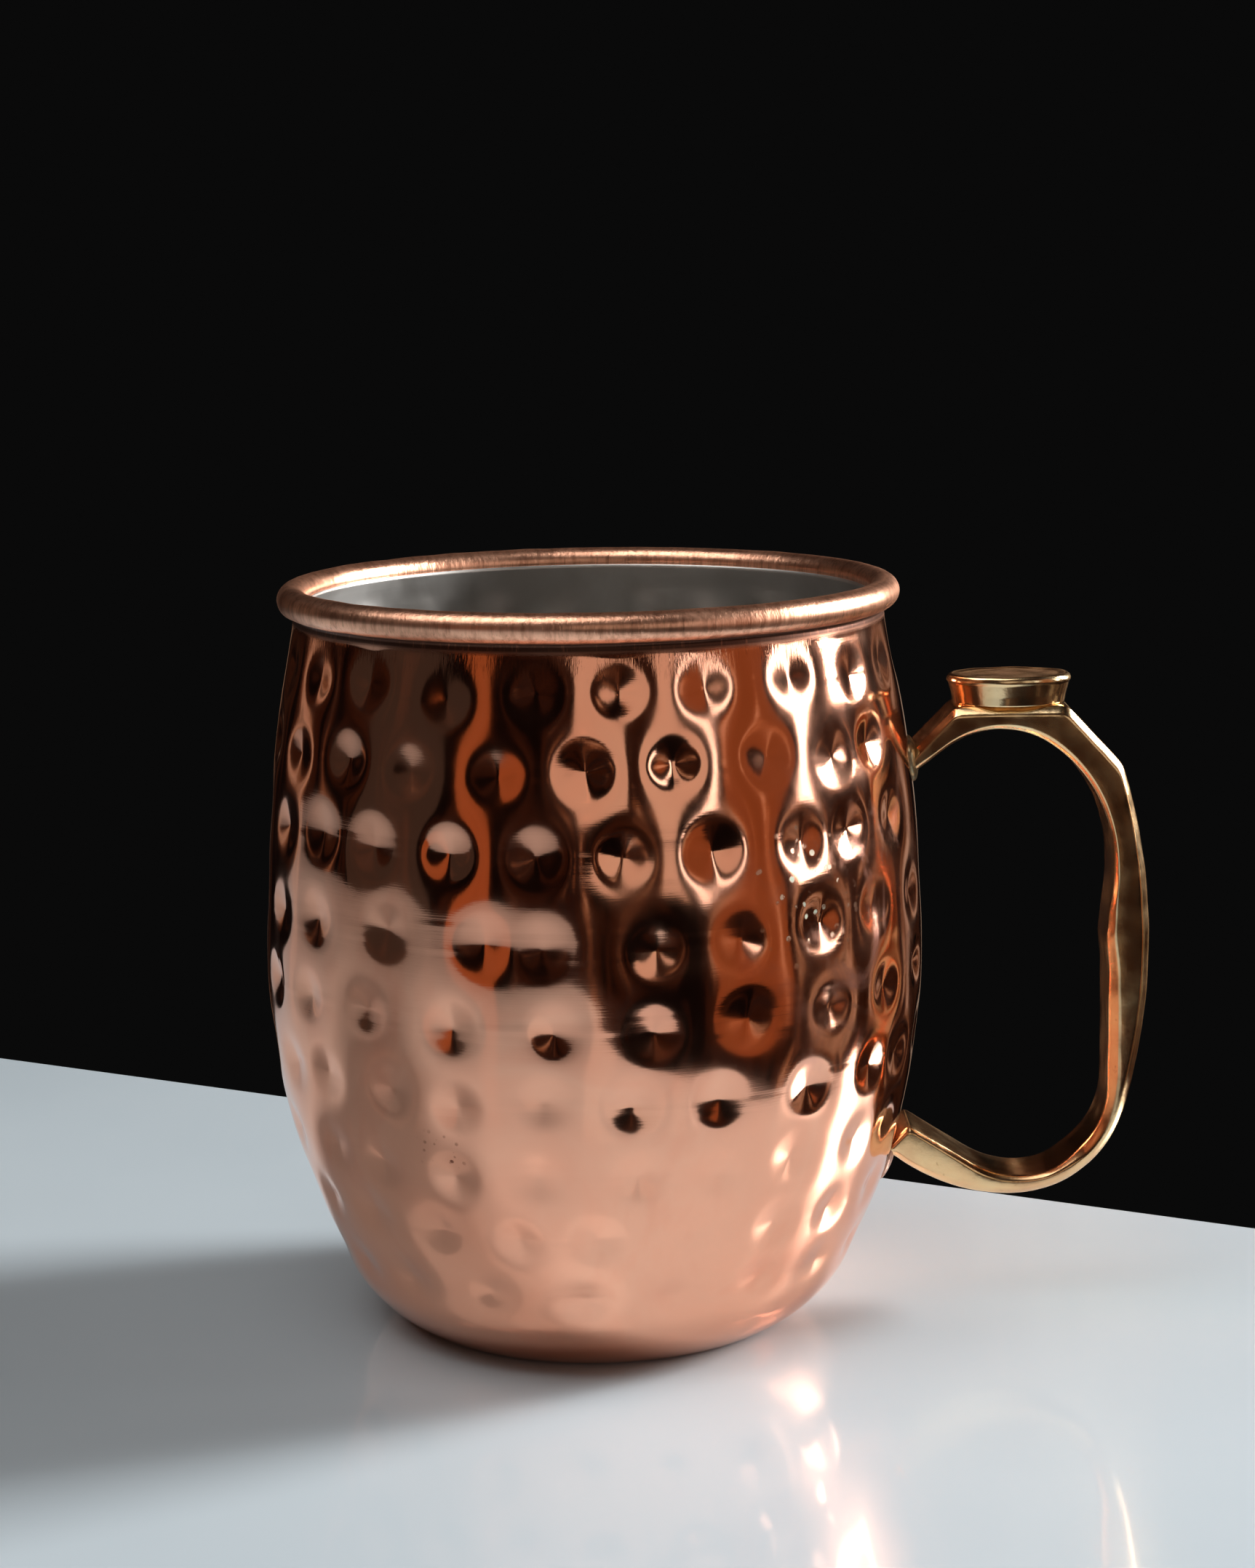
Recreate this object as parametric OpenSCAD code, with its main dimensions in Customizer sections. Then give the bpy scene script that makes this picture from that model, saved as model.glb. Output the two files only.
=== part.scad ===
// Hammered copper mug with a bright metal lining, a wired rolled rim and a cast brass handle.
// Millimetres, +Z up. The origin is the centre of the flat base, on the mug's axis.
// The handle points along +X. Every round body is turned about the Z axis.

/* [Body] */
// Widest diameter of the copper body, at the belly
body_d = 88; // [84:1:92]
// Height of the mug, from the base to the top of the rolled rim
mug_h = 99.6; // [98:0.2:101]
// Radius of the long arc from the belly up to the rim
neck_arc_r = 204.5; // [190:0.5:260]
// Radius of the arc from the belly down to the heel
belly_arc_r = 90.5; // [88:0.5:93]
// Radius of the heel, where the wall turns in under the mug
heel_arc_r = 19.2; // [18.6:0.1:19.8]
// Radius of the small turn between the heel and the flat base
foot_arc_r = 4.9; // [4.5:0.1:5.5]
// Thickness of the copper sheet
wall = 1.2; // [1:0.05:1.4]
// Thickness of the bright lining
lining_t = 0.3; // [0.2:0.05:0.4]

/* [Rim] */
// Outside diameter of the rolled rim
rim_d = 81.9; // [81.4:0.1:82.4]
// Diameter of the roll itself
bead_d = 3.9; // [3.6:0.1:4.2]
// Diameter of the wire inside the roll
wire_d = 1.9; // [1.6:0.1:2.1]

/* [Hammering] */
// Diameter of one hammer mark
mark_d = 7.6; // [6.5:0.1:8.2]
// Depth of one hammer mark
mark_depth = 0.55; // [0.3:0.05:0.6]
// Hammer marks in each full ring
marks_per_ring = 23; // [21:1:24]
// Hammer marks in the lowest ring, where the heel narrows
marks_low_ring = 19; // [17:1:20]

/* [Handle] */
// How far the grip stands out from the belly
grip_reach = 30.1; // [29.5:0.1:31]
// Width of the handle
handle_w = 10; // [9:0.5:11]
// Bevel on the outer edges of the handle
outer_bevel = 1.1; // [0.8:0.1:1.3]
// Radius of the handle's low outer bend
low_bend_r = 15.7; // [15.5:0.1:15.8]
// Height of the flat seat under the thumb rest
seat_z = 82; // [81.6:0.1:82.4]
// Length of the thumb rest along the handle
rest_d = 16.5; // [15.5:0.5:17]
// Width of the thumb rest across the handle
rest_w = 11.4; // [10.8:0.1:12]
// Thickness of the thumb rest
rest_t = 4; // [3.5:0.1:4.5]
// Thickness of the brazed pads between the handle and the body
braze_t = 0.7; // [0.5:0.05:0.8]

/* [Hidden] */
$fn = 96;
far = 300;

COPPER = [0.85, 0.49, 0.36];
LINING = [0.80, 0.79, 0.77];
BRASS = [0.80, 0.66, 0.36];
STEEL = [0.50, 0.50, 0.52];
BRAZE = [0.62, 0.52, 0.34];

// Body profile: four arcs, each tangent to the next. Angles are measured below the horizontal.
heel_start = 27;
foot_start = 61;
body_r = body_d / 2;
belly_z = foot_arc_r + (heel_arc_r - foot_arc_r) * sin(foot_start)
        + (belly_arc_r - heel_arc_r) * sin(heel_start);
neck_c = [body_r - neck_arc_r, belly_z];
belly_c = [body_r - belly_arc_r, belly_z];
heel_c = belly_c + (belly_arc_r - heel_arc_r) * ray(-heel_start);
foot_c = heel_c + (heel_arc_r - foot_arc_r) * ray(-foot_start);

bead_r = bead_d / 2;
bead_c = [rim_d / 2 - bead_r, mug_h - bead_r];

// Heights of the nine rings of hammer marks, top to bottom.
ring_z = [90, 80.3, 70.4, 59.4, 49.3, 39.1, 29.3, 20.4, 12];
mark_arc_r = (pow(mark_d / 2, 2) + pow(mark_depth, 2)) / (2 * mark_depth);
mark_proud = 1;

// Handle outline, in the upright plane through the mug's axis: x out from the axis, y up.
grip_arc_r = 82;
grip_c = [body_r + grip_reach - grip_arc_r, 49.5];
corner_z = 74;
corner = [grip_c[0] + sqrt(pow(grip_arc_r, 2) - pow(corner_z - grip_c[1], 2)), corner_z];
rest_x = body_r + 11.6;
rest_taper = 0.85;
seat_half = rest_d / 2 - rest_taper;
seat_out = [rest_x + seat_half, seat_z];
seat_in = [rest_x - seat_half, seat_z];
shoulder_slope = 49;
shoulder_end = seat_in - 14 * ray(shoulder_slope);

// Outer low bend: tangent to the grip arc where the grip arc's radius falls 7 in 24.
low_slope = [24, -7] / 25;
low_a = atan2(low_slope[1], low_slope[0]);
low_c = grip_c + (grip_arc_r - low_bend_r) * low_slope;
handle_low_z = low_c[1] - low_bend_r;
arm_arc_r = 25;
arm_c = [low_c[0], handle_low_z + arm_arc_r];

// Finger opening: two arcs over the top, an upright inside to the grip and one low bend.
// Neighbouring arcs meet along directions whose rise and run are short decimals.
arch_r = 20;
arch_c = [body_r + 5.2, 60.5];
crown_r = 12;
crown_dir = [0.6, 0.8];
crown_c = arch_c + (arch_r - crown_r) * crown_dir;
heelbend_r = 12.2;
heelbend_c = [arch_c[0] + arch_r - heelbend_r, 30.1];
top_arm_dir = [-0.6, 0.8];
low_arm_dir = [-0.5376, -0.8432];
arm_len = 16;
arch_side = arch_c + [arch_r, 0];
heelbend_side = heelbend_c + [heelbend_r, 0];
crown_end = crown_c + crown_r * top_arm_dir;
top_arm_end = crown_end + arm_len * [-top_arm_dir[1], top_arm_dir[0]];
heelbend_end = heelbend_c + heelbend_r * low_arm_dir;
low_arm_end = heelbend_end + arm_len * [low_arm_dir[1], -low_arm_dir[0]];

pad_w = handle_w + 1.6;
upper_pad = [71.9, 77.9];
lower_pad = [17.2, 23.6];

function ray(a) = [cos(a), sin(a)];
function length2(p, q) = norm(q - p);
function heading(p, q) = atan2(q[1] - p[1], q[0] - p[0]);
function angle_of(dir) = atan2(dir[1], dir[0]);

// Outside radius of the body at height z.
function body_radius(z) =
    z >= belly_z ? neck_c[0] + sqrt(pow(neck_arc_r, 2) - pow(z - neck_c[1], 2)) :
    z >= heel_c[1] - heel_arc_r * sin(heel_start)
        ? belly_c[0] + sqrt(pow(belly_arc_r, 2) - pow(z - belly_c[1], 2)) :
    heel_c[0] + sqrt(pow(heel_arc_r, 2) - pow(z - heel_c[1], 2));

// Angle of the body's surface normal below the horizontal at height z.
function body_lean(z) =
    z >= belly_z ? asin((neck_c[1] - z) / neck_arc_r) :
    z >= heel_c[1] - heel_arc_r * sin(heel_start) ? asin((belly_c[1] - z) / belly_arc_r) :
    asin((heel_c[1] - z) / heel_arc_r);

// ---------- body ----------

// Large circles get more preview facets, so that short stretches of them stay smooth.
module disc_at(c, r) {
    translate(c)
        circle(r, $fn = max($fn, 4 * ceil(r)));
}

// Pie slice of a disc between two angles, up to 120 degrees apart.
module slice_at(c, r, a0, a1) {
    intersection() {
        disc_at(c, r);
        polygon([c, c + far * ray(a0), c + far * ray((a0 + a1) / 2), c + far * ray(a1)]);
    }
}

// Right half of the body's silhouette, moved inwards by inset. Each smaller arc's slice
// runs a little way into the larger one beside it, which covers it.
module body_outline(inset) {
    intersection() {
        translate([0, inset])
            square([far, mug_h - bead_r - inset]);
        union() {
            intersection() {
                disc_at(neck_c, neck_arc_r - inset);
                translate([-far, belly_z])
                    square(2 * far);
            }
            slice_at(belly_c, belly_arc_r - inset, -heel_start, 2);
            slice_at(heel_c, heel_arc_r - inset, -foot_start, 5 - heel_start);
            disc_at(foot_c, foot_arc_r - inset);
            polygon([
                [0, inset],
                [foot_c[0], inset],
                heel_c + (heel_arc_r - inset - 2) * ray(-(heel_start + foot_start) / 2),
                belly_c + (belly_arc_r - inset - 4) * ray(-heel_start / 2),
                [body_r - 12, belly_z + 12],
                [0, belly_z + 12]
            ]);
        }
    }
}

// Seen from outside the mark is round; its floor is a shallow part of a sphere.
module hammer_cutter() {
    rotate_extrude()
        intersection() {
            translate([0, mark_arc_r - mark_depth])
                circle(mark_arc_r, $fn = 4 * $fn);
            translate([0, -mark_depth])
                square([mark_d / 2, mark_depth + mark_proud]);
        }
}

// Marks under the brazed pads are left out, so that the pads sit on whole metal.
function mark_clear(z, a) =
    let (near_axis = abs(a) < 16 || abs(a) > 344)
    !(near_axis && (abs(z - 75) < 8 || abs(z - 20.4) < 7));

module hammer_ring(i) {
    z = ring_z[i];
    count = i == len(ring_z) - 1 ? marks_low_ring : marks_per_ring;
    step = 360 / count;
    for (k = [0 : count - 1]) {
        a = (k + (i % 2) / 2) * step;
        if (mark_clear(z, a))
            rotate([0, 0, a])
                translate([body_radius(z), 0, z])
                    rotate([0, 90 + body_lean(z), 0])
                        hammer_cutter();
    }
}

// The sheet before hammering, with its edge rolled outwards round the wire.
module plain_shell() {
    rotate_extrude()
        difference() {
            union() {
                difference() {
                    body_outline(0);
                    body_outline(wall);
                }
                disc_at(bead_c, bead_r);
            }
            disc_at(bead_c, wire_d / 2);
        }
}

module copper_shell() {
    color(COPPER)
        difference() {
            plain_shell();
            for (i = [0 : len(ring_z) - 1])
                hammer_ring(i);
        }
}

module rim_wire() {
    color(STEEL)
        rotate_extrude()
            disc_at(bead_c, wire_d / 2);
}

// The lining follows the inside of the copper and laps onto the inner side of the roll.
module lining() {
    color(LINING)
        rotate_extrude()
            difference() {
                body_outline(wall);
                disc_at(bead_c, bead_r);
                difference() {
                    body_outline(wall + lining_t);
                    disc_at(bead_c, bead_r + lining_t);
                }
            }
}

// ---------- handle ----------

// Half cross-section of a bar of radius r about its own axis, bevelled at both rims.
module rim_section(r, bevel) {
    half = handle_w / 2;
    polygon([
        [0, -half], [r - bevel, -half], [r, bevel - half],
        [r, half - bevel], [r - bevel, half], [0, half]
    ]);
}

// A turned piece of the outline, drawn flat between the angles a0 and a1.
module turned_rim(c, r, a0, a1) {
    translate([c[0], c[1], 0])
        rotate([0, 0, a0])
            rotate_extrude(angle = a1 - a0)
                rim_section(r, outer_bevel);
}

// Outline of the finger opening. Each round end overlaps the straight sides it is tangent to.
module opening_outline() {
    disc_at(crown_c, crown_r);
    slice_at(arch_c, arch_r, -5, angle_of(crown_dir));
    disc_at(heelbend_c, heelbend_r);
    polygon([
        arch_side,
        arch_c + 14 * ray(25),
        crown_c,
        crown_end,
        top_arm_end,
        low_arm_end,
        heelbend_end,
        heelbend_c,
        heelbend_side
    ]);
}

// Takes the corner off both faces along a straight outer edge. Metal lies to the right.
module line_bevel(p, q) {
    half = handle_w / 2;
    for (side = [-1, 1])
        translate([p[0], p[1], 0])
            rotate([0, 0, heading(p, q)])
                rotate([90, 0, 90])
                    linear_extrude(length2(p, q))
                        polygon([
                            [1, side * (half - outer_bevel - 1)],
                            [-outer_bevel - 1, side * (half + 1)],
                            [1, side * (half + 1)]
                        ]);
}

// Grip and top of the handle, inside the grip arc and below the seat and both shoulders.
module grip_blank() {
    difference() {
        intersection() {
            turned_rim(grip_c, grip_arc_r, low_a, 60);
            linear_extrude(2 * handle_w, center = true)
                polygon([
                    shoulder_end,
                    seat_in,
                    seat_out,
                    corner + 3 * (corner - seat_out),
                    [far, 0],
                    [low_c[0], -far],
                    shoulder_end - [0, 30]
                ]);
        }
        line_bevel(shoulder_end, seat_in + 3 * ray(shoulder_slope));
        line_bevel(seat_out - (corner - seat_out) / 4, corner + (corner - seat_out) / 4);
    }
}

// The handle drawn flat: the grip, the low bend and the lower arm, end to end, then cut open.
module handle_bar() {
    difference() {
        union() {
            grip_blank();
            turned_rim(low_c, low_bend_r, -90, low_a);
            turned_rim(arm_c, arm_arc_r, -90, -150);
        }
        linear_extrude(2 * handle_w, center = true)
            opening_outline();
    }
}

// The body and its pads, as a solid that the handle's two ends are cut back to.
module body_envelope(grow) {
    rotate_extrude()
        body_outline(-grow);
}

module handle() {
    color(BRASS)
        difference() {
            rotate([90, 0, 0])
                handle_bar();
            body_envelope(braze_t);
        }
}

// A round button with a rolled top edge, drawn in below, with a flat on each side.
module thumb_rest() {
    edge = 0.7;
    color(BRASS)
        translate([rest_x, 0, seat_z])
            intersection() {
                rotate_extrude() {
                    polygon([
                        [0, 0],
                        [rest_d / 2 - rest_taper, 0],
                        [rest_d / 2, rest_t - edge],
                        [0, rest_t - edge]
                    ]);
                    square([rest_d / 2 - edge, rest_t]);
                    translate([rest_d / 2 - edge, rest_t - edge])
                        circle(edge);
                }
                translate([0, 0, rest_t / 2])
                    cube([2 * rest_d, rest_w, 2 * rest_t], center = true);
            }
}

// A brazed pad fills the space between the body and one end of the handle.
module braze_pad(z_range) {
    color(BRAZE)
        intersection() {
            difference() {
                body_envelope(braze_t);
                body_envelope(0);
            }
            translate([body_r / 2, -pad_w / 2, z_range[0]])
                cube([body_r, pad_w, z_range[1] - z_range[0]]);
        }
}

module upper_braze() {
    braze_pad(upper_pad);
}

module lower_braze() {
    braze_pad(lower_pad);
}

copper_shell();
rim_wire();
lining();
handle();
thumb_rest();
upper_braze();
lower_braze();
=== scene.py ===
"""Looks for a hammered copper mug with a brass handle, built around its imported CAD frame.

Outlines are worked out in millimetres, as in the CAD source, and turned into metres when a
mesh is made. The mug's axis is Z, the handle points along +X and the camera stands at -Y.
"""

import math

import bmesh
import bpy
import numpy as np
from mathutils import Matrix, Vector


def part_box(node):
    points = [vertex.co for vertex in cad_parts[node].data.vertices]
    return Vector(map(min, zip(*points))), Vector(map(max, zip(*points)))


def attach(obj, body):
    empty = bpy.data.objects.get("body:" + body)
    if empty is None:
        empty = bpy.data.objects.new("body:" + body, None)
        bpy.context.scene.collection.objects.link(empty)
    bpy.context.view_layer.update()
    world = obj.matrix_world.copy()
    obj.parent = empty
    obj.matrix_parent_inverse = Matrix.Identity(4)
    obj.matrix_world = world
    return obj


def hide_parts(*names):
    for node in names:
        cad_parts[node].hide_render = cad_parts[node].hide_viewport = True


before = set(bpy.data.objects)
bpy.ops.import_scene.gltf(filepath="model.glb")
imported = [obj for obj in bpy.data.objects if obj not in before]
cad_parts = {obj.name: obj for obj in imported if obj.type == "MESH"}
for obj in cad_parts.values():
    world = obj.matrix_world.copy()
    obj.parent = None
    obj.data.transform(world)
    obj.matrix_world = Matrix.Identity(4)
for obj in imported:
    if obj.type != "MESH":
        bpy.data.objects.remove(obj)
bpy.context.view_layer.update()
MM = 0.001

# ---------- driving dimensions, mm ----------

shell_low, shell_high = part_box("copper_shell")
rest_low, rest_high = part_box("thumb_rest")
handle_low, handle_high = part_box("handle")

BODY_R = 44.0
MUG_H = shell_high.z / MM
NECK_R, BELLY_R, HEEL_R, FOOT_R = 204.5, 90.5, 19.2, 4.9
HEEL_START, FOOT_START = 27, 61
WALL = 1.2
LINING_T = 0.3
RIM_R = 40.95
BEAD_R = 1.95
BEAD_C = (RIM_R - BEAD_R, MUG_H - BEAD_R)

# Each ring of hammer marks: height, marks in the ring, degrees it is turned, depth.
RINGS = [
    (90, 22, 14, 0.72),
    (80.3, 23, 3, 0.95),
    (70.4, 24, 5.5, 1.0),
    (59.4, 23, 13.5, 0.95),
    (49.3, 22, 1.5, 1.0),
    (39.1, 24, 7, 1.0),
    (29.3, 23, 9.5, 0.92),
    (20.4, 22, 9.5, 0.92),
    (12, 19, 0.5, 0.8),
]
MARK_R = 3.9

UPPER_JOINT_Z, LOWER_JOINT_Z = 75, 20.4
HANDLE_W = (handle_high.y - handle_low.y) / MM
SEAT_Z = handle_high.z / MM
REST_X = (rest_low.x + rest_high.x) / 2 / MM
REST_R = (rest_high.x - rest_low.x) / 2 / MM
REST_T = (rest_high.z - rest_low.z) / MM
REST_W = (rest_high.y - rest_low.y) / MM
REST_TAPER = 0.85


# ---------- outlines ----------


def ray(angle):
    return np.array([math.cos(math.radians(angle)), math.sin(math.radians(angle))])


def arc(centre, radius, start, end, step=0.5):
    """Points about step apart on an arc between two angles in degrees."""
    count = max(3, int(abs(math.radians(end - start)) * radius / step) + 2)
    return [np.array(centre) + radius * ray(a) for a in np.linspace(start, end, count)]


def line(start, end, step=0.5):
    start, end = np.array(start, float), np.array(end, float)
    count = max(2, int(np.linalg.norm(end - start) / step) + 2)
    return [start + (end - start) * t for t in np.linspace(0, 1, count)]


def smooth_step(low, high, value):
    t = np.clip((np.asarray(value, float) - low) / (high - low), 0, 1)
    return t * t * (3 - 2 * t)


BELLY_Z = (
    FOOT_R
    + (HEEL_R - FOOT_R) * math.sin(math.radians(FOOT_START))
    + (BELLY_R - HEEL_R) * math.sin(math.radians(HEEL_START))
)
NECK_C = np.array([BODY_R - NECK_R, BELLY_Z])
BELLY_C = np.array([BODY_R - BELLY_R, BELLY_Z])
HEEL_C = BELLY_C + (BELLY_R - HEEL_R) * ray(-HEEL_START)
FOOT_C = HEEL_C + (HEEL_R - FOOT_R) * ray(-FOOT_START)


def body_path(inset, top_z, step):
    """The body's right-hand outline from the middle of its base up to top_z."""
    neck_end = math.degrees(math.asin((top_z - BELLY_Z) / (NECK_R - inset)))
    pieces = [
        line((0.4, inset), (FOOT_C[0], inset), step),
        arc(FOOT_C, FOOT_R - inset, -90, -FOOT_START, step),
        arc(HEEL_C, HEEL_R - inset, -FOOT_START, -HEEL_START, step),
        arc(BELLY_C, BELLY_R - inset, -HEEL_START, 0, step),
        arc(NECK_C, NECK_R - inset, 0, neck_end, step),
    ]
    return join(pieces)


def join(pieces):
    """One outline from pieces that each start where the last one ended."""
    points = list(pieces[0])
    for piece in pieces[1:]:
        points += list(piece)[1:]
    return np.array(points)


def wall_radius(z):
    """Outside radius of the body at height z, above the heel."""
    centre, radius = (NECK_C, NECK_R) if z >= BELLY_Z else (BELLY_C, BELLY_R)
    if z < HEEL_C[1] - HEEL_R * math.sin(math.radians(HEEL_START)):
        centre, radius = HEEL_C, HEEL_R
    return centre[0] + math.sqrt(radius**2 - (z - centre[1]) ** 2)


def lengths_along(path):
    return np.concatenate([[0], np.cumsum(np.linalg.norm(np.diff(path, axis=0), axis=1))])


def path_normals(path):
    """Unit normals on the right-hand side of an outline walked in order."""
    tangent = np.gradient(path, axis=0)
    tangent /= np.maximum(np.linalg.norm(tangent, axis=1, keepdims=True), 1e-9)
    return np.stack([tangent[:, 1], -tangent[:, 0]], axis=1)


def waves(points, seed, wavelength, amplitude):
    """Gentle random unevenness: a sum of waves in seeded directions."""
    rng = np.random.default_rng(seed)
    total = np.zeros(points.shape[:-1])
    count = 14
    for _ in range(count):
        direction = rng.normal(size=points.shape[-1])
        direction /= np.linalg.norm(direction)
        scale = 2 * math.pi / (wavelength * rng.uniform(0.6, 1.6))
        total += np.sin(points @ direction * scale + rng.uniform(0, 2 * math.pi))
    return total * amplitude / math.sqrt(count)


# ---------- meshes ----------


def skin(name, rings):
    """A closed smooth mesh over rings of points, in mm, with a fan of faces at each end."""
    rows, columns = rings.shape[:2]
    points = np.concatenate([rings.reshape(-1, 3), [rings[0].mean(0)], [rings[-1].mean(0)]])
    this = np.arange(rows * columns).reshape(rows, columns)
    after = np.roll(this, -1, axis=1)
    quads = np.stack([this[:-1], after[:-1], after[1:], this[1:]], axis=-1).reshape(-1, 4)
    first, last = rows * columns, rows * columns + 1
    fans = [(first, int(b), int(a)) for a, b in zip(this[0], after[0])]
    fans += [(last, int(a), int(b)) for a, b in zip(this[-1], after[-1])]
    mesh = bpy.data.meshes.new(name)
    mesh.from_pydata((points * MM).tolist(), [], quads.tolist() + fans)
    work = bmesh.new()
    work.from_mesh(mesh)
    bmesh.ops.recalc_face_normals(work, faces=work.faces)
    work.to_mesh(mesh)
    work.free()
    mesh.polygons.foreach_set("use_smooth", [True] * len(mesh.polygons))
    piece = bpy.data.objects.new(name, mesh)
    bpy.context.scene.collection.objects.link(piece)
    return piece


def turned_rings(path, columns, relief=None):
    """Rings of a body turned about Z. relief gives how far each point sinks, in mm."""
    theta = np.linspace(0, 2 * math.pi, columns, endpoint=False)
    sink = relief(path, theta) if relief else np.zeros((len(path), columns))
    normal = path_normals(path)
    r = path[:, :1] - sink * normal[:, :1]
    z = path[:, 1:] - sink * normal[:, 1:]
    return np.stack([r * np.cos(theta), r * np.sin(theta), z], axis=-1)


def dress(piece, material, slot, *nodes):
    """Gives a piece its material, hangs it on the root body and hides the frame parts it replaces.
    """
    piece.data.materials.clear()
    piece.data.materials.append(material)
    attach(piece, "root")
    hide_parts(*nodes)
    return piece


# ---------- hammering ----------


def hammer_marks():
    """Every mark's azimuth, height, radius, depth and turn, with the unevenness of hand work."""
    rng = np.random.default_rng(7)
    marks = []
    for height, count, turn, depth in RINGS:
        for k in range(count):
            azimuth = turn + k * 360 / count + rng.normal(0, 1.4)
            z = height + rng.normal(0, 0.5)
            radius = MARK_R * rng.uniform(0.9, 1.08)
            deep = depth * rng.uniform(0.8, 1.15)
            twist = math.radians(rng.normal(0, 12))
            near_handle = abs((azimuth + 180) % 360 - 180) < 16
            on_pad = abs(z - UPPER_JOINT_Z) < 8 or abs(z - LOWER_JOINT_Z) < 7
            if not (near_handle and on_pad):
                marks.append((math.radians(azimuth), z, radius, deep, twist))
    return marks


MARKS = hammer_marks()


def near_marks(path, theta, reach):
    """For each mark: the rows it touches and each point's distance from it, across and up."""
    along = lengths_along(path)
    for azimuth, z, radius, depth, twist in MARKS:
        centre = along[np.argmin(np.abs(path[:, 1] - z))]
        rows = np.nonzero(np.abs(along - centre) < reach * radius)[0]
        turn = (theta - azimuth + math.pi) % (2 * math.pi) - math.pi
        across = turn[None, :] * path[rows, :1]
        up = np.broadcast_to((along[rows] - centre)[:, None], across.shape)
        yield rows, across, up, radius, depth, twist


def hammered(path, theta):
    """How far each point of the outer wall sinks: marks, their skirts and slight waviness.

    A mark is a four-sided point in a cone, over a wider bowl, in a broad shallow skirt.
    """
    sink = np.zeros((len(path), len(theta)))
    for rows, across, up, radius, depth, twist in near_marks(path, theta, 2.4):
        u = (across * math.cos(twist) + up * math.sin(twist)) / radius
        v = (up * math.cos(twist) - across * math.sin(twist)) / radius
        t = np.hypot(u, v)
        four_sided = 0.85 * (np.sqrt(u**2 + 0.0006) + np.sqrt(v**2 + 0.0006))
        facets = 0.6 * np.clip(1 - t, 0, 1)
        slope = 1 - (t * (1 - facets) + four_sided * facets)
        cone = 0.5 * (slope + np.sqrt(slope**2 + 0.32**2))
        bowl = 0.5 * (0.8 - t**2 + np.sqrt((0.8 - t**2) ** 2 + 0.5**2))
        fade = 1 - smooth_step(1.2, 2.3, t)
        skirt = np.exp(-(t**2) / 2.2)
        sink[rows] += depth * ((0.5 * cone + 0.26 * bowl) * fade + 0.2 * skirt)
    wall = smooth_step(6, 12, path[:, 1]) * (1 - smooth_step(94, 95.5, path[:, 1]))
    on_axis = np.stack(
        [
            path[:, :1] * np.cos(theta),
            path[:, :1] * np.sin(theta),
            np.broadcast_to(path[:, 1:] * 0.4, sink.shape),
        ],
        axis=-1,
    )
    return (sink + waves(on_axis, 3, 17, 0.05) + 0.09) * wall[:, None]


def dented_inside(path, theta):
    """The marks seen from inside: low soft swellings of the lining."""
    sink = np.zeros((len(path), len(theta)))
    for rows, across, up, radius, depth, _ in near_marks(path, theta, 2.2):
        swell = np.exp(-(across**2 + up**2) / (0.75 * radius) ** 2)
        sink[rows] += 0.85 * depth * swell
    high = smooth_step(8, 14, path[:, 1]) * (1 - smooth_step(93, 95, path[:, 1]))
    return sink * high[:, None]


# ---------- the mug's pieces ----------


def base_relief(outline):
    """How far the underside rises inside the foot: a slight hollow with faint turning rings."""
    r = outline[:, 0]
    hollow = 0.35 * (1 - smooth_step(18, 21.5, r))
    rings = 0.03 * np.sin(r * 2 * math.pi / 1.9) * (r < 18)
    return (hollow + rings) * smooth_step(0, 1, r) * (outline[:, 1] < 0.01)


def copper_shell():
    """Hammered wall, flat base with faint turning rings, and the rolled edge, in one sheet."""
    outer = body_path(0, BEAD_C[1], 0.36)
    clear = np.linalg.norm(outer - BEAD_C, axis=1) > BEAD_R
    outer = outer[: np.argmin(clear)] if not clear.all() else outer
    outer[:, 1] += base_relief(outer)
    start = math.degrees(math.atan2(*(outer[-1] - BEAD_C)[::-1]))
    bead = arc(BEAD_C, BEAD_R, start, 190, 0.3)
    inner = body_path(WALL, bead[-1][1] - 0.2, 2.0)[::-1]
    path = np.concatenate([outer, bead[1:], inner])
    return skin("copper_body", turned_rings(path, 760, hammered_outside(len(outer))))


def hammered_outside(rows):
    """Hammering for the first rows of a path only; the rest of it stays true."""

    def relief(path, theta):
        sink = np.zeros((len(path), len(theta)))
        sink[:rows] = hammered(path[:rows], theta)
        bead = np.linalg.norm(path - BEAD_C, axis=1) < BEAD_R + 0.05
        spot = np.stack(np.broadcast_arrays(40 * np.cos(theta), 40 * np.sin(theta)), axis=-1)
        sink[bead] += 0.03 + waves(spot, 11, 7, 0.025)[None, :]
        return sink

    return relief


def lining():
    """The bright metal inside: a thin skin with a plain floor, ending on the rolled edge."""
    top = BEAD_C[1] - 0.3
    inner = body_path(WALL + LINING_T, top, 0.55)[::-1]
    floor = inner[:, 1] < WALL + LINING_T + 0.01
    inner[floor, 1] += 0.02 * np.sin(inner[floor, 0] * 2 * math.pi / 1.6)
    outer = body_path(WALL + 0.05, top, 2.5)
    path = np.concatenate([outer, inner])

    def relief(path, theta):
        sink = np.zeros((len(path), len(theta)))
        sink[len(outer) :] = -dented_inside(path[len(outer) :], theta)
        return sink

    return skin("lining_skin", turned_rings(path, 420, relief))


# ---------- handle ----------

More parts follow.
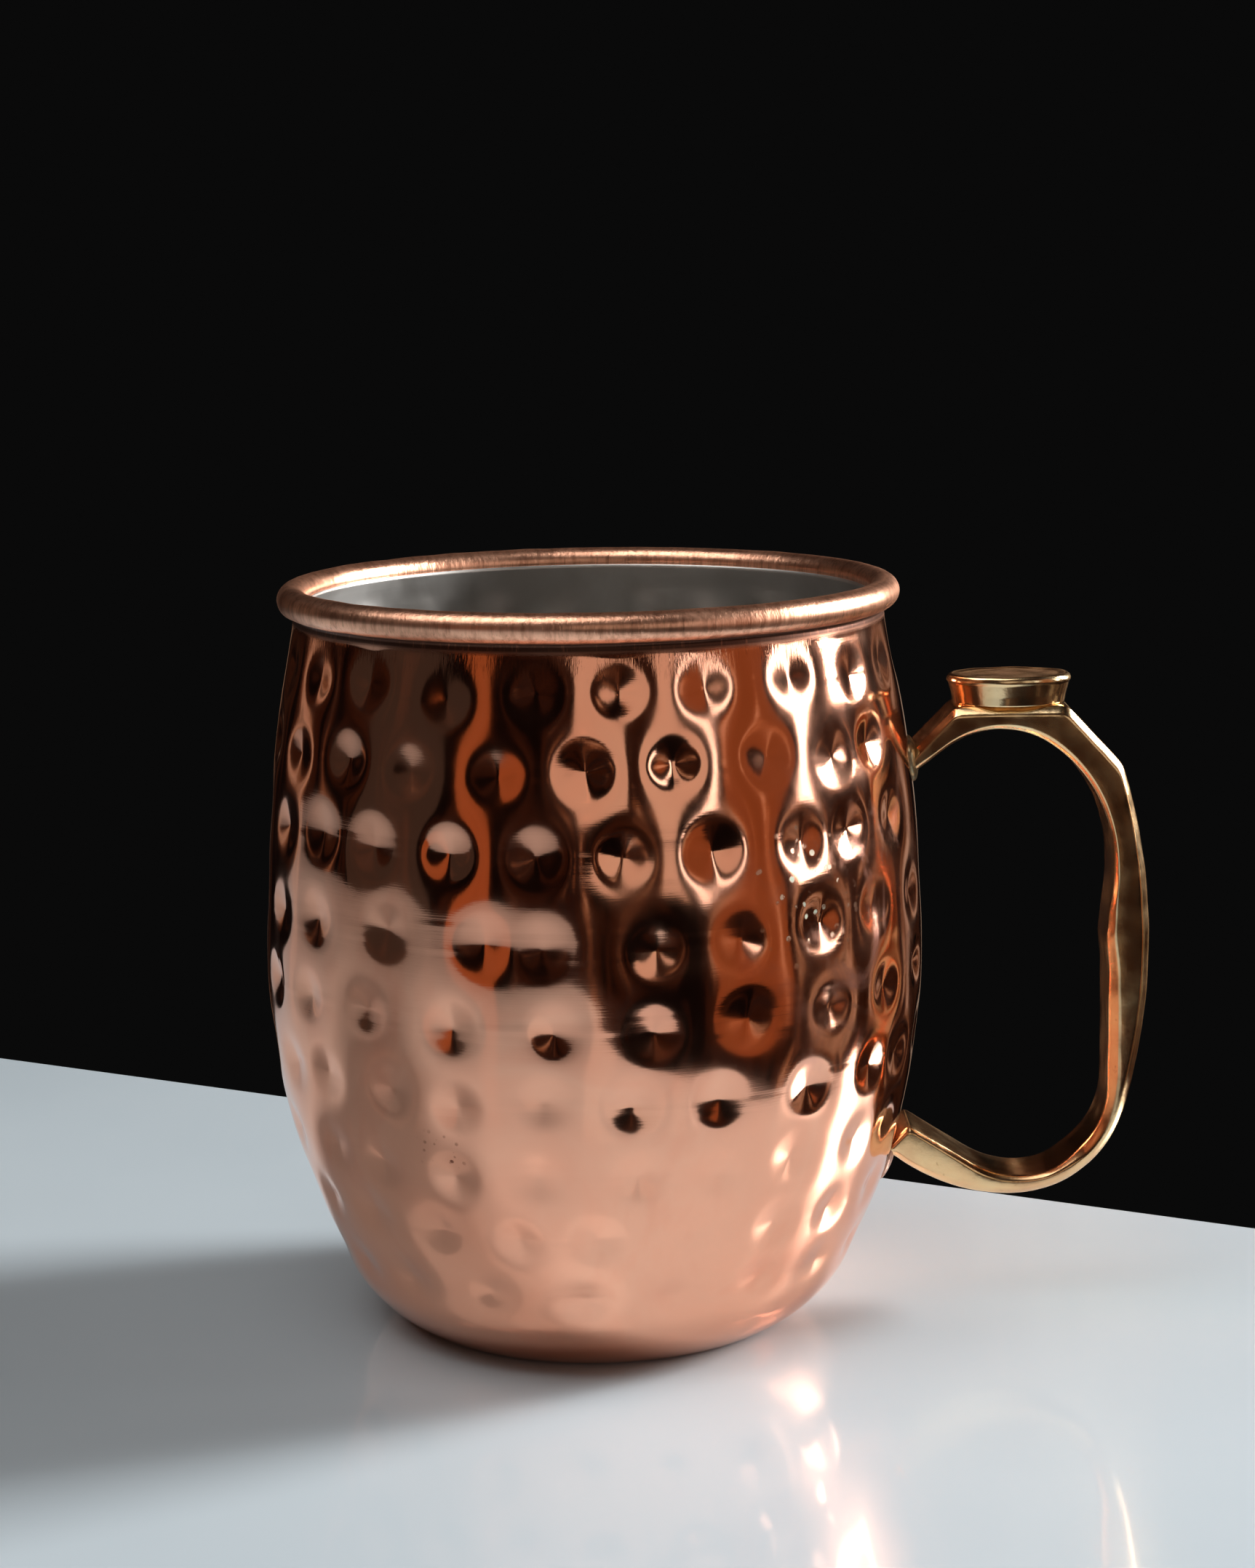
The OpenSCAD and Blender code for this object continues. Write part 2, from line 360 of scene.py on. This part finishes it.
HANDLE_REACH = 30.1
UPPER_ARM_TOP_Z, UPPER_ARM_LOW_Z, LOWER_ARM_TOP_Z = 75.4, 72.9, 22.4
LOW_ARM_LENGTH = 10.2
GRIP_R, LOW_BEND_R, ARM_R = 82, 15.7, 25
GRIP_C = np.array([BODY_R + HANDLE_REACH - GRIP_R, 49.5])
LOW_DIR = np.array([24, -7]) / 25
LOW_A = math.degrees(math.atan2(LOW_DIR[1], LOW_DIR[0]))
LOW_C = GRIP_C + (GRIP_R - LOW_BEND_R) * LOW_DIR
LOW_Z = LOW_C[1] - LOW_BEND_R
ARM_C = np.array([LOW_C[0], LOW_Z + ARM_R])
CORNER_Z = 74
CORNER_A = math.degrees(math.asin((CORNER_Z - GRIP_C[1]) / GRIP_R))
CORNER = GRIP_C + GRIP_R * ray(CORNER_A)
SEAT_HALF = REST_R - REST_TAPER
SEAT_IN = np.array([REST_X - SEAT_HALF, SEAT_Z])
SEAT_OUT = np.array([REST_X + SEAT_HALF, SEAT_Z])

ARCH_C, ARCH_R = np.array([BODY_R + 5.2, 60.5]), 20
CROWN_R = 12
CROWN_DIR = np.array([0.6, 0.8])
CROWN_A = math.degrees(math.atan2(CROWN_DIR[1], CROWN_DIR[0]))
CROWN_C = ARCH_C + (ARCH_R - CROWN_R) * CROWN_DIR
HEEL_BEND_R = 12.2
HEEL_BEND_C = np.array([ARCH_C[0] + ARCH_R - HEEL_BEND_R, 30.1])
LOW_ARM_DIR = np.array([-0.5376, -0.8432])
LOW_ARM_A = math.degrees(math.atan2(LOW_ARM_DIR[1], LOW_ARM_DIR[0]))


def on_wall(z, depth=0.7):
    """A point just inside the copper at height z, so that an arm reaches the wall."""
    return np.array([wall_radius(z) - depth, z])


def resampled(points, count):
    along = lengths_along(np.array(points))
    wanted = np.linspace(0, along[-1], count)
    return np.stack([np.interp(wanted, along, np.array(points)[:, k]) for k in (0, 1)], axis=1)


def softened(points, spread):
    """An outline with its corners rubbed round, its ends left where they are."""
    reach = int(3 * spread)
    kernel = np.exp(-0.5 * (np.arange(-reach, reach + 1) / spread) ** 2)
    kernel /= kernel.sum()
    padded = np.concatenate(
        [
            2 * points[:1] - points[reach:0:-1],
            points,
            2 * points[-1:] - points[-2 : -reach - 2 : -1],
        ]
    )
    return np.stack([np.convolve(padded[:, k], kernel, "valid") for k in (0, 1)], axis=1)


def handle_outlines():
    """Matching points on the outer and the inner outline, from the upper arm round to the lower."""
    grip_top, bend_low, bend_end, arm_end = 22, -14, -88, -122
    crown_start = 180 - CROWN_A
    crown_end = CROWN_C + CROWN_R * ray(crown_start)
    arm_start = HEEL_BEND_C + HEEL_BEND_R * LOW_ARM_DIR
    peak = arm_start + LOW_ARM_LENGTH * ray(LOW_ARM_A - 90)
    stretches = [
        (line(on_wall(UPPER_ARM_TOP_Z), SEAT_IN), line(on_wall(UPPER_ARM_LOW_Z), crown_end)),
        (line(SEAT_IN, SEAT_OUT), arc(CROWN_C, CROWN_R, crown_start, CROWN_A)),
        (line(SEAT_OUT, CORNER), arc(ARCH_C, ARCH_R, CROWN_A, grip_top)),
        (
            arc(GRIP_C, GRIP_R, CORNER_A, LOW_A),
            join(
                [
                    arc(ARCH_C, ARCH_R, grip_top, 0),
                    line(ARCH_C + [ARCH_R, 0], HEEL_BEND_C + [HEEL_BEND_R, 0]),
                    arc(HEEL_BEND_C, HEEL_BEND_R, 0, bend_low),
                ]
            ),
        ),
        (
            arc(LOW_C, LOW_BEND_R, LOW_A, -90),
            arc(HEEL_BEND_C, HEEL_BEND_R, bend_low, bend_end),
        ),
        (
            arc(ARM_C, ARM_R, -90, arm_end),
            join([arc(HEEL_BEND_C, HEEL_BEND_R, bend_end, LOW_ARM_A), line(arm_start, peak)]),
        ),
        (arc(ARM_C, ARM_R, arm_end, -132), line(peak, on_wall(LOWER_ARM_TOP_Z))),
    ]
    outer, inner = [], []
    for outside, inside in stretches:
        longest = max(lengths_along(np.array(outside))[-1], lengths_along(np.array(inside))[-1])
        count = int(longest / 0.45) + 3
        first = 1 if outer else 0
        outer += list(resampled(outside, count))[first:]
        inner += list(resampled(inside, count))[first:]
    outer, inner = softened(np.array(outer), 1.3), softened(np.array(inner), 1.3)
    return outer, worn_grip(inner)


def worn_grip(inner):
    """The grip is a little thicker below the forefinger, with one soft swelling."""
    x, z = inner[:, 0], inner[:, 1]
    forefinger_z, swelling_z = 59, 50
    thick = (1 - smooth_step(forefinger_z - 6, forefinger_z, z)) * smooth_step(60, 66, x)
    swelling = np.exp(-(((z - swelling_z) / 2.6) ** 2)) * (x > 60)
    towards = HEEL_BEND_C - inner
    towards /= np.linalg.norm(towards, axis=1, keepdims=True)
    sideways = np.where((z > 30)[:, None], np.array([-1.0, 0.0]), towards)
    return inner + sideways * (0.55 * thick + 0.3 * swelling)[:, None]


def bevelled_section(thickness, half, inner_bevel, outer_bevel):
    """Eight-sided section with softened corners: distance from the inner side, and Y."""
    a, b = min(inner_bevel, 0.4 * thickness), min(outer_bevel, 0.4 * thickness)
    t = thickness
    corners = [
        (0, a - half), (a, -half), (t - b, -half), (t, b - half),
        (t, half - b), (t - b, half), (a, half), (0, half - a),
    ]
    points = []
    for k, corner in enumerate(np.array(corners, float)):
        before, after = np.array(corners[k - 1], float), np.array(corners[(k + 1) % 8], float)
        towards_before = (before - corner) / np.linalg.norm(before - corner)
        towards_after = (after - corner) / np.linalg.norm(after - corner)
        reach_before = min(0.32, 0.45 * np.linalg.norm(before - corner))
        reach_after = min(0.32, 0.45 * np.linalg.norm(after - corner))
        for s in (0, 0.33, 0.67, 1):
            blend_in = (1 - s) ** 2 * reach_before * towards_before
            blend_out = s**2 * reach_after * towards_after
            points.append(corner + blend_in + blend_out)
        if k in (3, 7):
            points += [corner + (after - corner) * f for f in (0.3, 0.5, 0.7)]
    return np.array(points)


def handle():
    """Cast brass bar swept between its two outlines, bevelled all round."""
    outer, inner = handle_outlines()
    rings = []
    for out, inside in zip(outer, inner):
        across = out - inside
        thickness = np.linalg.norm(across)
        across /= thickness
        on_grip = smooth_step(62, 68, inside[0]) * (1 - smooth_step(40, 66, inside[1]))
        section = bevelled_section(thickness, HANDLE_W / 2, 0.7 + 0.7 * on_grip, 1.15)
        place = inside + section[:, :1] * across
        rings.append(np.stack([place[:, 0], section[:, 1], place[:, 1]], axis=1))
    rings = np.array(rings)
    wobble = waves(rings, 21, 9, 0.045) + waves(rings, 22, 3.5, 0.012)
    centre = rings.mean(1, keepdims=True)
    towards = centre - rings
    towards /= np.linalg.norm(towards, axis=-1, keepdims=True)
    rings += towards * (0.06 + wobble)[..., None]
    return skin("handle_casting", rings)


def thumb_rest():
    """Brass button with a rolled upper edge, drawn in below until it meets the bar."""
    r, t, taper = REST_R, REST_T, REST_TAPER
    path = join(
        [
            line((0.3, 0.0), (r - taper, 0.0), 0.4),
            line((r - taper, 0.0), (r - 0.75 * taper, 0.3 * t), 0.2),
            line((r - 0.75 * taper, 0.3 * t), (r - 0.2, t - 1.1), 0.2),
            arc((r - 0.75, t - 0.75), 0.75, -20, 90, 0.1),
            line((r - 0.75, t), (r - 1.7, t - 0.14), 0.2),
            line((r - 1.7, t - 0.14), (0.3, t - 0.2), 0.4),
        ]
    )
    rings = turned_rings(path, 160)
    top = smooth_step(0.5, t, rings[..., 2])
    rings[..., 2] -= 0.05 * top * (1 + waves(rings[..., :2], 31, 6, 0.6))
    rings[..., 1] *= REST_W / (2 * r)
    rings += np.array([REST_X, 0, SEAT_Z])
    return skin("thumb_rest_button", rings)


def braze(name, node, seed):
    """A lumpy collar of filler metal spread on the wall round one end of the handle."""
    low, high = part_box(node)
    mid_z, half_z = (low.z + high.z) / 2 / MM, (high.z - low.z) / 2 / MM
    half_y = high.y / MM
    phi = np.linspace(0, 2 * math.pi, 96, endpoint=False)
    square = (np.abs(np.cos(phi)) ** 3.2 + np.abs(np.sin(phi)) ** 3.2) ** (-1 / 3.2)
    edge = np.stack([np.cos(phi), np.sin(phi)], axis=1)
    ragged = square * (0.95 + waves(edge * 10, seed, 9, 0.05))
    rings = []
    for share, back in [(s, False) for s in np.linspace(0.06, 1, 18)] + [(0.9, True), (0.3, True)]:
        y = half_y * share * ragged * np.cos(phi)
        z = mid_z + half_z * share * ragged * np.sin(phi)
        swell = 1.0 * math.sqrt(max(0, 1 - share**2.6)) - 0.06
        lumps = waves(np.stack([y, z], axis=1), seed + 1, 3.2, 0.14) * (1 - share)
        height = np.full(len(phi), -0.55) if back else swell + lumps
        wall = np.array([wall_radius(v) for v in z])
        x = np.sqrt((wall + height) ** 2 - y**2)
        rings.append(np.stack([x, y, z], axis=1))
    return skin(name, np.array(rings))


# ---------- materials ----------


class Look:
    """A Principled material with procedural nodes feeding it. Lengths are in metres."""

    def __init__(self, name, **sockets):
        self.material = bpy.data.materials.new(name)
        self.material.use_nodes = True
        self.tree = self.material.node_tree
        self.shader = self.tree.nodes["Principled BSDF"]
        for socket, value in sockets.items():
            self.shader.inputs[socket.replace("_", " ")].default_value = value
        self.place = self.node("TexCoord").outputs["Object"]
        self.normal = None

    def node(self, kind, inputs=None, **settings):
        node = self.tree.nodes.new("ShaderNode" + kind)
        for key, value in settings.items():
            setattr(node, key, value)
        for key, value in (inputs or {}).items():
            if isinstance(value, bpy.types.NodeSocket):
                self.tree.links.new(value, node.inputs[key])
            else:
                node.inputs[key].default_value = value
        return node

    def noise(self, stretch, detail=3.0, rough=0.55, warp=0.0):
        """Noise from 0 to 1. stretch is how many features fit in a metre along x, y and z."""
        mapping = self.node("Mapping", {"Vector": self.place, "Scale": stretch})
        noise = self.node(
            "TexNoise",
            {
                "Vector": mapping.outputs[0],
                "Scale": 1.0,
                "Detail": detail,
                "Roughness": rough,
                "Distortion": warp,
            },
        )
        return noise.outputs["Fac"]

    def spots(self, density, size):
        """1 inside small scattered spots, 0 elsewhere."""
        cells = self.node("TexVoronoi", {"Vector": self.place, "Scale": density})
        return self.fit(cells.outputs["Distance"], size, size * 0.6, 0, 1)

    def fit(self, value, low, high, to_low, to_high):
        inputs = {"Value": value, "From Min": low, "From Max": high}
        inputs.update({"To Min": to_low, "To Max": to_high})
        return self.node("MapRange", inputs).outputs[0]

    def math(self, operation, first, second=0.0):
        return self.node("Math", {0: first, 1: second}, operation=operation).outputs[0]

    def times(self, first, second):
        return self.math("MULTIPLY", first, second)

    def plus(self, first, second):
        return self.math("ADD", first, second)

    def height(self):
        return self.node("SeparateXYZ", {0: self.place}).outputs["Z"]

    def near(self, centre, radius):
        """1 close to a point, falling to 0 at the radius."""
        gap = self.node("VectorMath", {0: self.place, 1: centre}, operation="DISTANCE")
        return self.fit(gap.outputs["Value"], radius, radius * 0.3, 0, 1)

    def mix(self, share, first, second):
        inputs = {0: share, 6: first, 7: second}
        return self.node("Mix", inputs, data_type="RGBA").outputs[2]

    def ramp(self, value, *stops):
        ramp = self.node("ValToRGB", {0: value})
        elements = ramp.color_ramp.elements
        while len(elements) < len(stops):
            elements.new(0.5)
        for element, (position, colour) in zip(elements, stops):
            element.position = position
            element.color = colour
        return ramp.outputs[0]

    def bump(self, height, strength, distance):
        inputs = {"Height": height, "Strength": strength, "Distance": distance}
        if self.normal:
            inputs["Normal"] = self.normal
        self.normal = self.node("Bump", inputs).outputs[0]

    def finish(self, colour, roughness):
        links = {"Base Color": colour, "Roughness": roughness}
        if self.normal:
            links["Normal"] = self.normal
        for socket, source in links.items():
            self.tree.links.new(source, self.shader.inputs[socket])
        return self.material


def rgb(red, green, blue):
    return (red, green, blue, 1.0)


def copper_look():
    """Polished copper: fine brushing round the wall, rubbed rim, tarnish and a few specks."""
    look = Look("polished_copper", Metallic=1.0)
    clouds = look.noise((45, 45, 30), 4, 0.6, 0.6)
    colour = look.ramp(
        clouds,
        (0.3, rgb(0.93, 0.42, 0.27)),
        (0.55, rgb(0.95, 0.47, 0.31)),
        (0.75, rgb(0.90, 0.38, 0.24)),
    )
    patchy = look.noise((110, 110, 90), 3, 0.6)
    roughness = look.fit(patchy, 0.35, 0.7, 0.07, 0.14)
    brushed = look.noise((50, 50, 5200), 3, 0.6)
    look.bump(brushed, 0.25, 0.000012)
    colour, roughness = tarnished(look, colour, roughness)
    colour, roughness = rim_worn(look, colour, roughness)
    look.bump(look.noise((350, 350, 350), 4, 0.6), 0.2, 0.00003)
    return look.finish(colour, roughness)


def tarnished(look, colour, roughness):
    """Tarnish on the side by the handle, verdigris within it, and brown specks low in front."""
    blotches = look.fit(look.noise((70, 70, 55), 5, 0.65, 1.2), 0.52, 0.72, 0, 0.75)
    tarnish = look.times(blotches, look.near((0.036, -0.022, 0.058), 0.03))
    colour = look.mix(tarnish, colour, rgb(0.50, 0.25, 0.25))
    green = look.times(look.spots(700, 0.34), look.near((0.026, -0.034, 0.064), 0.011))
    green = look.times(green, look.fit(look.noise((400, 400, 400)), 0.5, 0.6, 0, 0.8))
    colour = look.mix(green, colour, rgb(0.35, 0.55, 0.47))
    brown = look.times(look.spots(900, 0.3), look.near((-0.0195, -0.0375, 0.032), 0.004))
    colour = look.mix(brown, colour, rgb(0.16, 0.05, 0.03))
    roughness = look.plus(roughness, look.times(tarnish, 0.25))
    roughness = look.plus(roughness, look.times(green, 0.5))
    return colour, roughness


def rim_worn(look, colour, roughness):
    """A nicked, rubbed bead, painted shade in the groove under it, and upright scratches below
    that.
    """
    height = look.height()
    bead_low = (BEAD_C[1] - BEAD_R) * MM
    bead = look.fit(height, bead_low - 0.0002, bead_low, 0, 1)
    nicks = look.noise((900, 900, 60), 4, 0.7)
    worn = look.times(look.fit(nicks, 0.56, 0.68, 0, 0.55), bead)
    colour = look.mix(worn, colour, rgb(0.40, 0.30, 0.22))
    rubbed = look.ramp(nicks, (0.35, rgb(0.55, 0.27, 0.17)), (0.55, rgb(1.0, 0.55, 0.36)))
    colour = look.mix(look.times(bead, 0.75), colour, rubbed)
    roughness = look.plus(roughness, look.times(bead, 0.22))

    # Painted shade: a near-black band where shadow falls in the crevice, on the wall just under the
    # bead and on the bead's lowest edge. The band is also made rougher.
    painted_groove_shade = look.fit(height, bead_low - 0.0015, bead_low - 0.0008, 0, 0.97)
    painted_groove_shade = look.times(painted_groove_shade, look.fit(height, bead_low + 0.0003, bead_low, 0, 1))
    colour = look.mix(painted_groove_shade, colour, rgb(0.07, 0.03, 0.02))
    roughness = look.plus(roughness, look.times(painted_groove_shade, 0.3))

    below = look.fit(height, bead_low - 0.0052, bead_low - 0.0012, 0, 1)
    scratches = look.noise((2600, 2600, 90), 3, 0.6)
    scored = look.times(look.fit(scratches, 0.58, 0.7, 0, 0.5), below)
    colour = look.mix(scored, colour, rgb(0.35, 0.14, 0.08))
    look.bump(look.times(scratches, below), 0.6, 0.00004)
    look.bump(look.times(nicks, bead), 0.7, 0.00012)
    return colour, roughness


def lining_look():
    """Bright nickel: silvery, slightly cloudy and softly brushed round the wall."""
    look = Look("nickel_lining", Metallic=1.0)
    clouds = look.noise((60, 60, 60), 4, 0.6, 0.5)
    colour = look.ramp(clouds, (0.3, rgb(0.48, 0.46, 0.43)), (0.7, rgb(0.64, 0.63, 0.61)))
    roughness = look.fit(clouds, 0.3, 0.7, 0.36, 0.48)
    look.bump(look.noise((40, 40, 3200), 3, 0.6), 0.35, 0.00002)
    return look.finish(colour, roughness)


def brass_look():
    """Cast brass, hand polished: warm gold with a pinker, darker bloom and fine pits."""
    look = Look("cast_brass", Metallic=1.0)
    bloom = look.noise((90, 90, 60), 5, 0.6, 0.8)
    colour = look.ramp(
        bloom,
        (0.3, rgb(0.80, 0.46, 0.24)),
        (0.5, rgb(0.90, 0.62, 0.33)),
        (0.7, rgb(0.92, 0.70, 0.41)),
    )
    pits = look.noise((1500, 1500, 1500), 4, 0.6)
    colour = look.mix(look.fit(pits, 0.62, 0.75, 0, 0.5), colour, rgb(0.35, 0.22, 0.10))
    roughness = look.fit(look.noise((200, 200, 200), 4, 0.6), 0.3, 0.7, 0.12, 0.26)
    look.bump(pits, 0.3, 0.00003)
    look.bump(look.noise((420, 420, 420), 3, 0.5), 0.25, 0.0001)
    return look.finish(colour, roughness)


def braze_look(name, pale, dark):
    """Filler metal left as it flowed: dull, grainy and discoloured by the torch."""
    look = Look(name, Metallic=0.85)
    stain = look.noise((320, 320, 320), 5, 0.65, 0.7)
    colour = look.ramp(stain, (0.35, dark), (0.6, pale))
    roughness = look.fit(stain, 0.3, 0.7, 0.5, 0.3)
    look.bump(look.noise((900, 900, 900), 4, 0.6), 0.5, 0.00012)
    return look.finish(colour, roughness)


def steel_look():
    """Drawn steel wire with a grey mill skin."""
    look = Look("drawn_steel", Metallic=1.0)
    skin_tone = look.noise((700, 700, 90), 4, 0.6)
    colour = look.ramp(skin_tone, (0.3, rgb(0.30, 0.30, 0.31)), (0.7, rgb(0.48, 0.47, 0.46)))
    look.bump(skin_tone, 0.3, 0.00002)
    return look.finish(colour, look.fit(skin_tone, 0.3, 0.7, 0.3, 0.45))


# ---------- stage ----------


def table():
    """A pale glossy slab whose back corner lies behind the mug on its right."""
    edge_azimuth = 150.92
    corner = Vector((0.135, 0.0055, 0))
    back = Vector((*ray(edge_azimuth), 0))
    side = Vector((*ray(edge_azimuth + 90), 0))
    length, depth, thick = 1.0, 0.62, 0.018
    work = bmesh.new()
    outline = [corner, corner + back * length, corner + back * length + side * depth]
    outline.append(corner + side * depth)
    top = work.faces.new([work.verts.new(p) for p in outline])
    lower = bmesh.ops.extrude_face_region(work, geom=[top])["geom"]
    moved = [v for v in lower if isinstance(v, bmesh.types.BMVert)]
    bmesh.ops.translate(work, verts=moved, vec=(0, 0, -thick))
    bmesh.ops.bevel(work, geom=work.edges[:], offset=0.0015, segments=3, affect="EDGES")
    bmesh.ops.recalc_face_normals(work, faces=work.faces)
    mesh = bpy.data.meshes.new("table_slab")
    work.to_mesh(mesh)
    work.free()
    slab = bpy.data.objects.new("table_slab", mesh)
    bpy.context.scene.collection.objects.link(slab)
    look = Look("table_gloss", Coat_Weight=0.5, Coat_Roughness=0.06)
    tone = look.noise((9, 9, 9), 3)
    colour = look.ramp(tone, (0.3, rgb(0.50, 0.58, 0.63)), (0.7, rgb(0.54, 0.62, 0.67)))
    mesh.materials.append(look.finish(colour, look.fit(tone, 0.3, 0.7, 0.2, 0.26)))


def soft_light(name, azimuth, distance, height, size, power, colour):
    """An upright panel of light that faces the mug from one direction."""
    data = bpy.data.lights.new(name, "AREA")
    data.shape = "RECTANGLE"
    data.size, data.size_y = size
    data.energy = power
    data.color = colour
    lamp = bpy.data.objects.new(name, data)
    place = ray(azimuth) * distance
    lamp.location = (place[0], place[1], height)
    aim = Vector((0, 0, 0.06)) - lamp.location
    lamp.rotation_euler = aim.to_track_quat("-Z", "Y").to_euler()
    bpy.context.scene.collection.objects.link(lamp)


def lights():
    """A window on the right, dimmer panels that the copper mirrors, and two lamps above."""
    daylight, warm = (1, 0.99, 0.98), (1, 0.86, 0.74)
    brown = (1, 0.36, 0.13)
    soft_light("window", 17, 1.1, 0.45, (0.3, 0.6), 34, daylight)
    soft_light("window_edge", -9, 1.3, 0.3, (0.16, 0.6), 1.6, daylight)
    soft_light("panel_brown", -32, 1.5, 0.25, (0.68, 1.3), 0.55, brown)
    soft_light("panel_slit", -50, 1.5, 0.35, (0.08, 0.7), 0.4, daylight)
    soft_light("panel_right", -62, 1.5, 0.4, (0.3, 0.8), 0.45, warm)
    soft_light("panel_camera", -87, 1.7, 0.55, (0.5, 0.8), 0.7, warm)
    soft_light("panel_brown_left", -131, 1.5, 0.3, (0.28, 0.9), 0.2, brown)
    soft_light("panel_left", -163, 1.4, 0.3, (0.9, 0.8), 0.08, warm)
    soft_light("overhead", -120, 0.5, 1.5, (0.9, 0.9), 5, daylight)
    soft_light("fill_left", -165, 0.8, 1.3, (0.9, 0.9), 6, daylight)


def surroundings():
    """A dark room: uneven upright shapes for the metal to mirror, plain black to the eye."""
    world = bpy.data.worlds.new("dark_room")
    world.use_nodes = True
    tree = world.node_tree
    direction = tree.nodes.new("ShaderNodeTexCoord").outputs["Generated"]
    stretch = tree.nodes.new("ShaderNodeMapping")
    stretch.inputs["Scale"].default_value = (5.5, 5.5, 1.6)
    shapes = tree.nodes.new("ShaderNodeTexNoise")
    shapes.inputs["Scale"].default_value = 1.0
    shapes.inputs["Detail"].default_value = 4.0
    shapes.inputs["Roughness"].default_value = 0.6
    tones = tree.nodes.new("ShaderNodeValToRGB")
    stops = [
        (0.44, (0.003, 0.002, 0.002)),
        (0.52, (0.03, 0.012, 0.006)),
        (0.57, (0.006, 0.006, 0.008)),
        (0.62, (0.16, 0.08, 0.04)),
        (0.66, (0.45, 0.36, 0.28)),
        (0.7, (0.03, 0.018, 0.012)),
    ]
    elements = tones.color_ramp.elements
    while len(elements) < len(stops):
        elements.new(0.5)
    for element, (position, colour) in zip(elements, stops):
        element.position = position
        element.color = rgb(*colour)
    eye_ray = tree.nodes.new("ShaderNodeLightPath").outputs["Is Camera Ray"]
    choose = tree.nodes.new("ShaderNodeMix")
    choose.data_type = "RGBA"
    choose.inputs[7].default_value = rgb(0.003, 0.003, 0.003)
    background = tree.nodes["Background"]
    tree.links.new(direction, stretch.inputs["Vector"])
    tree.links.new(stretch.outputs[0], shapes.inputs["Vector"])
    tree.links.new(shapes.outputs["Fac"], tones.inputs[0])
    tree.links.new(eye_ray, choose.inputs[0])
    tree.links.new(tones.outputs[0], choose.inputs[6])
    tree.links.new(choose.outputs[2], background.inputs["Color"])
    bpy.context.scene.world = world
    bpy.context.scene.view_settings.view_transform = "Standard"


def camera():
    """A long lens a little above the rim, on the mug's -Y side."""
    data = bpy.data.cameras.new("camera")
    data.sensor_fit = "HORIZONTAL"
    data.sensor_width = 36
    data.lens = 93.2
    data.clip_start = 0.01
    eye = bpy.data.objects.new("camera", data)
    tilt_down, roll, turn_right = 9.906, 0.912, 0.801
    eye.location = (0, -0.4267, 0.1463)
    eye.rotation_euler = [math.radians(a) for a in (90 - tilt_down, roll, -turn_right)]
    bpy.context.scene.collection.objects.link(eye)
    bpy.context.scene.camera = eye


# ---------- build ----------

copper = copper_look()
brass = brass_look()
dress(copper_shell(), copper, "copper", "copper_shell")
dress(lining(), lining_look(), "lining", "lining")
dress(handle(), brass, "brass", "handle")
dress(thumb_rest(), brass, "brass", "thumb_rest")
greenish = braze_look("braze_upper", rgb(0.50, 0.42, 0.26), rgb(0.14, 0.14, 0.09))
pinkish = braze_look("braze_lower", rgb(0.78, 0.48, 0.36), rgb(0.40, 0.22, 0.16))
dress(braze("upper_braze_collar", "upper_braze", 41), greenish, "braze", "upper_braze")
dress(braze("lower_braze_collar", "lower_braze", 51), pinkish, "braze", "lower_braze")

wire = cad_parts["rim_wire"]
wire.data.materials.clear()
wire.data.materials.append(steel_look())

table()
lights()
surroundings()
camera()
